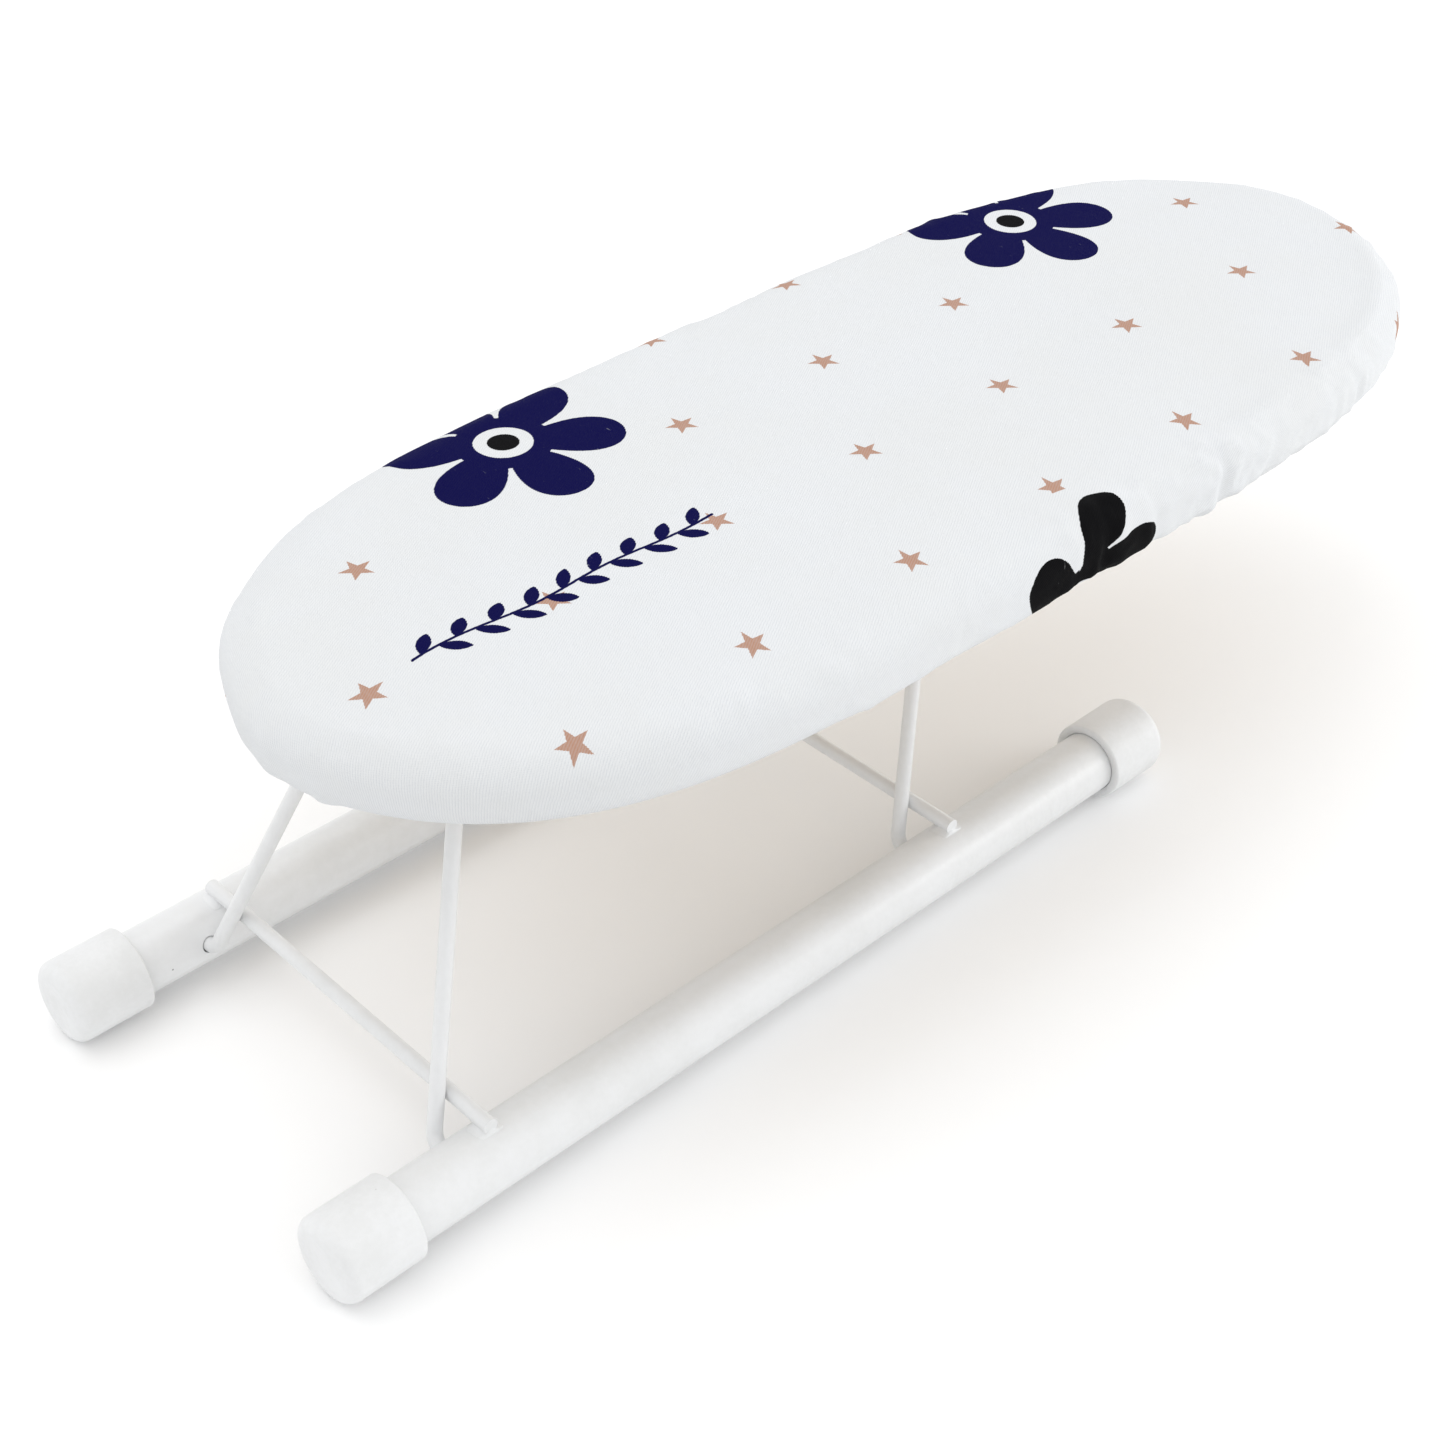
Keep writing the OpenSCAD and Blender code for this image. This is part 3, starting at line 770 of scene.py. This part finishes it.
def sprig_group():
    """A straight sprig: a gently waved stem with pairs of slanted leaves, each an
    ellipse drawn to a point."""
    g, given, out = new_group(
        "printed_sprig",
        [("Vector", "Vector", None), ("Start", "Vector", None), ("Length", "Float", 0.1152),
         ("Pitch", "Float", 0.0128), ("Soft", "Float", 0.0002)], [("Mask", "Float")])
    x, y, _ = g.split(g.vector("SUBTRACT", given["Vector"], given["Start"]))
    y = g.math("MULTIPLY_ADD", x, 0.017, y)
    wave = g.math("MULTIPLY", g.math("SINE", g.math("MULTIPLY", x, TURN / 0.058)), 0.0009)
    y = g.math("SUBTRACT", y, wave)
    stem = g.math("SUBTRACT", 0.00055, g.math("ABSOLUTE", y))
    cell = g.math("DIVIDE", x, given["Pitch"])
    half, wide = 0.0050, 0.0023
    cos, sin = math.cos(math.radians(42)), math.sin(math.radians(42))
    masks = []
    for side, offset in ((1, 0.0), (-1, 0.5)):
        place = g.math("SUBTRACT", g.math("FRACT", g.math("ADD", cell, offset)), 0.5)
        lx = g.math("SUBTRACT", g.math("MULTIPLY", place, given["Pitch"]), 0.0008)
        ly = g.math("MULTIPLY_ADD", y, float(side), -0.0036)
        p = g.math("ADD", g.math("MULTIPLY", lx, cos), g.math("MULTIPLY", ly, sin))
        q = g.math("SUBTRACT", g.math("MULTIPLY", ly, cos), g.math("MULTIPLY", lx, sin))
        along_leaf = g.math("DIVIDE", p, half)
        room = g.math("MAXIMUM", g.math("SUBTRACT", 1.0, g.math("MULTIPLY", along_leaf, along_leaf)), 0.0)
        fullness = g.math("MULTIPLY", g.math("POWER", room, 0.8), wide)
        margin = g.math("MULTIPLY", given["Pitch"], offset)
        left = g.math("SUBTRACT", given["Length"], x)
        whole = g.math("MINIMUM", g.math("SUBTRACT", x, margin), g.math("SUBTRACT", left, margin))
        within = g.math("MINIMUM", g.math("SUBTRACT", 0.97 * half, g.math("ABSOLUTE", p)), whole)
        masks.append(g.math("MINIMUM", g.math("SUBTRACT", fullness, g.math("ABSOLUTE", q)), within))
    shape = g.math("MAXIMUM", g.math("MAXIMUM", masks[0], masks[1]), stem)
    inside = g.step(g.math("DIVIDE", shape, given["Soft"]), -0.5, 0.5)
    begun = g.math("GREATER_THAN", x, 0.0)
    ended = g.math("LESS_THAN", x, given["Length"])
    g.put(out["Mask"], g.math("MULTIPLY", inside, g.math("MULTIPLY", begun, ended)))
    return g.tree


def speck_group():
    """Sparse round specks: the cells of a Voronoi pattern whose own random value
    is under a share, each with a dot of a random size at its middle."""
    g, given, out = new_group(
        "specks", [("Vector", "Vector", None), ("Cell", "Float", 0.004), ("Share", "Float", 0.05),
                   ("Size", "Float", 0.05)], [("Mask", "Float")])
    cells = g.node("ShaderNodeTexVoronoi", {"feature": "F1"}, Vector=given["Vector"],
                   Scale=g.math("DIVIDE", 1.0, given["Cell"]))
    chance, size, _ = g.split(cells.outputs["Color"])
    dot = g.math("MULTIPLY", given["Size"], g.math("MULTIPLY_ADD", size, 0.8, 0.4))
    near = g.step(g.math("SUBTRACT", cells.outputs["Distance"], dot), 0.02, -0.02)
    g.put(out["Mask"], g.math("MULTIPLY", near, g.math("LESS_THAN", chance, given["Share"])))
    return g.tree


def soil_group():
    """Uneven handling marks: broad cloudy noise with finer streaks in it, 0 to 1."""
    g, given, out = new_group("handling", [("Vector", "Vector", None), ("Scale", "Float", 20.0)],
                              [("Mask", "Float")])
    broad = g.noise(given["Vector"], given["Scale"], 3.0, 0.6)
    fine = g.noise(given["Vector"], g.math("MULTIPLY", given["Scale"], 14.0), 2.0, 0.6)
    g.put(out["Mask"], g.step(g.math("MULTIPLY_ADD", fine, 0.35, broad), 0.45, 0.95))
    return g.tree


twill = twill_group()
stars = star_group()
flower = flower_group()
sprig = sprig_group()
specks = speck_group()
handling = soil_group()


# ---------------------------------------------------------------- materials

# Print places on the flat cut, from the board's middle
FLOWERS = ((-0.1036, 0.0692), (0.1418, 0.0655))
FRONT_FLOWER = (0.004, -0.1125)
FIRST_STAR = (-0.0212, -0.0149, 0.0)
SPRIG_START = (-0.199, -0.0074, 0.0)
NO_STAR_NEAR = 0.043
NAVY = colour(4, 3, 66)
INK = colour(7, 7, 9)
TAN = colour(170, 124, 99)


def front_petals(g, print_at):
    """The flower that wraps under the front edge: its lower part is drawn in where
    the cloth turns under, more on the right, and a tuck cuts its left petals."""
    x, y, _ = g.split(print_at)
    middle = FRONT_FLOWER[0]
    tuck = g.math("MULTIPLY", g.step(x, middle - 0.001, middle - 0.005), 0.0095)
    aside = g.step(x, middle + 0.005, middle + 0.013)
    drawn_in = g.math("MULTIPLY", g.step(y, -0.078, -0.103), g.scale(aside, 0.002, 0.0115))
    place = g.join(x, g.math("SUBTRACT", g.math("ADD", y, tuck), drawn_in))
    made = g.group(flower, Vector=place, Centre=(*FRONT_FLOWER, 0.0), Size=0.0385,
                   First_petal=math.radians(5))
    return made["Petals"]


def cotton_material():
    """White twill with its print and painted shade in the weave's hollows. The threads let
    the print's edges wander, and bare thread shows through the ink here and there."""
    material, g, shader = new_material("printed_cotton", Specular_IOR_Level=0.08, Roughness=0.86)
    flat = g.node("ShaderNodeUVMap", {"uv_map": "flat"}).outputs[0]
    weave = g.group(twill, Vector=flat, Pitch=0.00156)
    rough_edge = g.math("SUBTRACT", weave["Height"], 0.5)
    wander = g.vector("SCALE", g.join(rough_edge, g.math("SUBTRACT", weave["Thread"], 0.5)))
    wander.node.inputs["Scale"].default_value = 0.00035
    print_at = g.vector("ADD", flat, wander)
    soil = g.group(handling, Vector=flat, Scale=11.0)["Mask"]
    base = g.mix(weave["Thread"], colour(225, 227, 229), colour(217, 219, 221))
    # The weave's low grooves are painted a bluish grey: painted shade between the threads.
    base = g.mix(g.step(weave["Height"], 0.55, 0.1), base, colour(205, 208, 212))
    base = g.mix(g.math("MULTIPLY", soil, 0.25), base, colour(214, 214, 210))
    star = g.group(stars, Vector=print_at, Start=FIRST_STAR)["Mask"]
    for centre in FLOWERS + (FRONT_FLOWER,):
        away = g.vector("DISTANCE", flat, (*centre, 0.0))
        star = g.math("MULTIPLY", star, g.math("GREATER_THAN", away, NO_STAR_NEAR))
    ink = g.mix(g.math("MULTIPLY", star, g.scale(weave["Height"], 0.7, 1.0)), base, TAN)
    bare = g.math("MULTIPLY_ADD", g.step(weave["Thread"], 0.70, 0.80), -0.35, 1.0)
    for centre in FLOWERS:
        made = g.group(flower, Vector=print_at, Centre=(*centre, 0.0), First_petal=math.radians(-31))
        ink = g.mix(g.math("MULTIPLY", made["Petals"], bare), ink, NAVY)
        ink = g.mix(made["Eye"], ink, INK)
    ink = g.mix(g.math("MULTIPLY", front_petals(g, print_at), bare), ink, INK)
    leaf = g.group(sprig, Vector=print_at, Start=SPRIG_START)["Mask"]
    ink = g.mix(g.math("MULTIPLY", leaf, bare), ink, NAVY)
    g.put(shader.inputs["Base Color"], ink)
    g.put(shader.inputs["Roughness"], g.scale(weave["Thread"], 0.78, 0.94))
    crumple = g.noise(flat, 55.0, 3.0, 0.55)
    normal = g.bump(crumple, 0.0006)
    g.put(shader.inputs["Normal"], g.bump(weave["Height"], 0.00013, 0.8, normal))
    return material


def paint_material(name, seed):
    """White powder coat: orange peel, slow drips, handling marks and a few specks."""
    material, g, shader = new_material(name, Coat_Weight=0.15, Coat_Roughness=0.25, Roughness=0.38)
    place = g.node("ShaderNodeTexCoord").outputs["Object"]
    moved = g.vector("ADD", place, (seed, seed * 0.7, 0.0))
    fleck = g.group(specks, Vector=moved, Cell=0.009, Share=0.10, Size=0.035)["Mask"]
    soil = g.group(handling, Vector=moved, Scale=26.0)["Mask"]
    base = g.mix(soil, colour(226, 227, 228), colour(219, 220, 220))
    base = g.mix(g.math("MULTIPLY", fleck, 0.75), base, colour(70, 68, 66))
    g.put(shader.inputs["Base Color"], base)
    g.put(shader.inputs["Roughness"], g.scale(soil, 0.3, 0.44))
    peel = g.noise(moved, 420.0, 2.0, 0.5)
    drips = g.noise(moved, 60.0, 1.0, 0.5)
    normal = g.bump(drips, 0.0004, 0.6)
    g.put(shader.inputs["Normal"], g.bump(peel, 0.00012, 0.7, normal))
    return material


def cap_material():
    """White moulded plastic with a fine grain and shallow sink marks."""
    material, g, shader = new_material("moulded_plastic", Roughness=0.5, Specular_IOR_Level=0.45)
    place = g.node("ShaderNodeTexCoord").outputs["Object"]
    soil = g.group(handling, Vector=place, Scale=40.0)["Mask"]
    base = g.mix(soil, colour(227, 228, 229), colour(219, 220, 220))
    fleck = g.group(specks, Vector=place, Cell=0.008, Share=0.06, Size=0.03)["Mask"]
    g.put(shader.inputs["Base Color"], g.mix(g.math("MULTIPLY", fleck, 0.5), base, colour(150, 148, 142)))
    g.put(shader.inputs["Roughness"], g.scale(soil, 0.42, 0.6))
    grain = g.noise(place, 900.0, 2.0, 0.6)
    sink = g.noise(place, 70.0, 1.0, 0.5)
    g.put(shader.inputs["Normal"], g.bump(grain, 0.00006, 0.6, g.bump(sink, 0.0004, 0.5)))
    return material


def board_material():
    """Raw fibreboard: felted short fibres, darker flecks and a faint sanding grain."""
    material, g, shader = new_material("raw_fibreboard", Roughness=0.8, Specular_IOR_Level=0.3)
    place = g.node("ShaderNodeTexCoord").outputs["Object"]
    fibres = g.noise(g.vector("MULTIPLY", place, (300.0, 1400.0, 900.0)), 1.0, 4.0, 0.65)
    cloud = g.noise(place, 35.0, 4.0, 0.6)
    base = g.mix(fibres, colour(212, 196, 172), colour(186, 168, 142))
    base = g.mix(g.math("MULTIPLY", cloud, 0.5), base, colour(198, 180, 154))
    fleck = g.group(specks, Vector=place, Cell=0.0035, Share=0.3, Size=0.12)["Mask"]
    g.put(shader.inputs["Base Color"], g.mix(g.math("MULTIPLY", fleck, 0.5), base, colour(128, 98, 70)))
    g.put(shader.inputs["Roughness"], g.scale(fibres, 0.7, 0.92))
    g.put(shader.inputs["Normal"], g.bump(fibres, 0.0002, 0.6))
    return material


def foam_material():
    """Yellowish foam whose open cells are a Voronoi pattern, with painted shade in the pores."""
    material, g, shader = new_material("open_cell_foam", Roughness=0.95, Sheen_Weight=0.2)
    place = g.node("ShaderNodeTexCoord").outputs["Object"]
    cells = g.node("ShaderNodeTexVoronoi", {"feature": "F1"}, Vector=place, Scale=900.0).outputs["Distance"]
    # The cells' middles are painted darker: painted shade in the open pores.
    g.put(shader.inputs["Base Color"], g.mix(cells, colour(226, 212, 160), colour(244, 236, 200)))
    g.put(shader.inputs["Normal"], g.bump(cells, 0.0005, 0.8))
    return material


def zinc_material():
    """Zinc-plated stamped steel: fine rolling lines and dull blotches of plating."""
    material, g, shader = new_material("zinc_plate", Metallic=1.0, Roughness=0.35)
    place = g.node("ShaderNodeTexCoord").outputs["Object"]
    lines = g.noise(g.vector("MULTIPLY", place, (150.0, 3000.0, 3000.0)), 1.0, 3.0, 0.6)
    blotch = g.group(handling, Vector=place, Scale=160.0)["Mask"]
    base = g.mix(blotch, colour(214, 216, 219), colour(168, 170, 172))
    g.put(shader.inputs["Base Color"], base)
    g.put(shader.inputs["Roughness"], g.scale(blotch, 0.24, 0.5))
    g.put(shader.inputs["Normal"], g.bump(lines, 0.00005, 0.6))
    return material


def elastic_material():
    """Woven elastic, ribbed like a fine twill, with painted shade between its ribs."""
    material, g, shader = new_material("woven_elastic", Roughness=0.8)
    place = g.node("ShaderNodeTexCoord").outputs["Object"]
    ribs = g.group(twill, Vector=place, Pitch=0.0018)["Height"]
    # The hollows between the ribs are painted darker: painted shade.
    g.put(shader.inputs["Base Color"], g.mix(ribs, colour(214, 214, 210), colour(238, 238, 236)))
    g.put(shader.inputs["Normal"], g.bump(ribs, 0.0003))
    return material


def thread_material():
    """Twisted white sewing thread."""
    material, g, shader = new_material("sewing_thread", Roughness=0.6, Sheen_Weight=0.3)
    place = g.node("ShaderNodeTexCoord").outputs["Object"]
    ply = g.noise(place, 2600.0, 2.0, 0.6)
    g.put(shader.inputs["Base Color"], g.mix(ply, colour(226, 226, 224), colour(246, 246, 244)))
    g.put(shader.inputs["Normal"], g.bump(ply, 0.0001))
    return material


def dress(piece, material):
    """Makes this the piece's only material."""
    piece.data.materials.clear()
    piece.data.materials.append(material)


frame_paint = paint_material("white_powder_coat", 0.0)
leg_paint = paint_material("white_leg_coat", 0.31)
zinc = zinc_material()
dress(cover, cotton_material())
dress(foam, foam_material())
dress(stitches, thread_material())
plastic = cap_material()
for cap in caps:
    dress(cap, plastic)
for fillet in fillets:
    dress(fillet, frame_paint)
finishes = {"deck_panel": board_material(), "hem_elastic": elastic_material()}
for node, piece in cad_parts.items():
    if node.endswith(("tube", "crossbar", "welds")):
        dress(piece, frame_paint)
    elif node.endswith("leg_frame"):
        dress(piece, leg_paint)
    elif node.endswith(("clip", "screws")):
        dress(piece, zinc)
    elif node in finishes:
        dress(piece, finishes[node])


# ---------------------------------------------------------------- stage, light, camera

def make_stage():
    """A wide pale floor that the caps stand on."""
    reach = 6.0
    corners = np.array([[-reach, -reach, 0], [reach, -reach, 0], [reach, reach, 0], [-reach, reach, 0]])
    floor = mesh_object("floor", corners, np.array([[0, 1, 2, 3]]))
    material, _, shader = new_material("pale_floor", Roughness=0.7, Specular_IOR_Level=0.2)
    shader.inputs["Base Color"].default_value = (0.94, 0.94, 0.94, 1.0)
    dress(floor, material)


def soft_light(name, place, target, size, power):
    """A rectangular light at place that faces target."""
    lamp = bpy.data.lights.new(name, "AREA")
    lamp.shape = "RECTANGLE"
    lamp.size, lamp.size_y = size
    lamp.energy = power
    holder = bpy.data.objects.new(name, lamp)
    holder.location = place
    holder.rotation_euler = (Vector(target) - Vector(place)).to_track_quat("-Z", "Y").to_euler()
    bpy.context.scene.collection.objects.link(holder)


def make_lights():
    """A white surround, a soft light overhead and one at the side."""
    world = bpy.data.worlds.new("pale_surround")
    bpy.context.scene.world = world
    world.use_nodes = True
    world.node_tree.nodes["Background"].inputs["Color"].default_value = (1.0, 1.0, 1.0, 1.0)
    world.node_tree.nodes["Background"].inputs["Strength"].default_value = 1.02
    soft_light("overhead", (-0.3, 0.5, 1.5), (0, 0, 0.1), (1.6, 1.6), 6)
    soft_light("side", (1.2, -0.9, 0.45), (0.05, 0, 0.08), (0.9, 0.5), 6)
    bpy.context.scene.view_settings.view_transform = "Standard"


def make_camera():
    """A 36 mm frame at the height and side that the board is seen from."""
    place = Vector((-0.4840, -0.4610, 0.5348))
    azimuth, elevation, roll = (math.radians(v) for v in (-43.404, 37.318, 0.159))
    back = Vector((math.sin(azimuth) * math.cos(elevation), -math.cos(azimuth) * math.cos(elevation),
                   math.sin(elevation)))
    right = (-back).cross(Vector((0, 0, 1))).normalized()
    up = right.cross(-back)
    across = right * math.cos(roll) + up * math.sin(roll)
    upward = up * math.cos(roll) - right * math.sin(roll)
    lens = bpy.data.cameras.new("camera")
    lens.lens = 58.45
    lens.sensor_width = 36
    lens.clip_start = 0.05
    holder = bpy.data.objects.new("camera", lens)
    turned = Matrix((across, upward, back)).transposed().to_4x4()
    holder.matrix_world = Matrix.Translation(place) @ turned
    bpy.context.scene.collection.objects.link(holder)
    bpy.context.scene.camera = holder


make_stage()
make_lights()
make_camera()
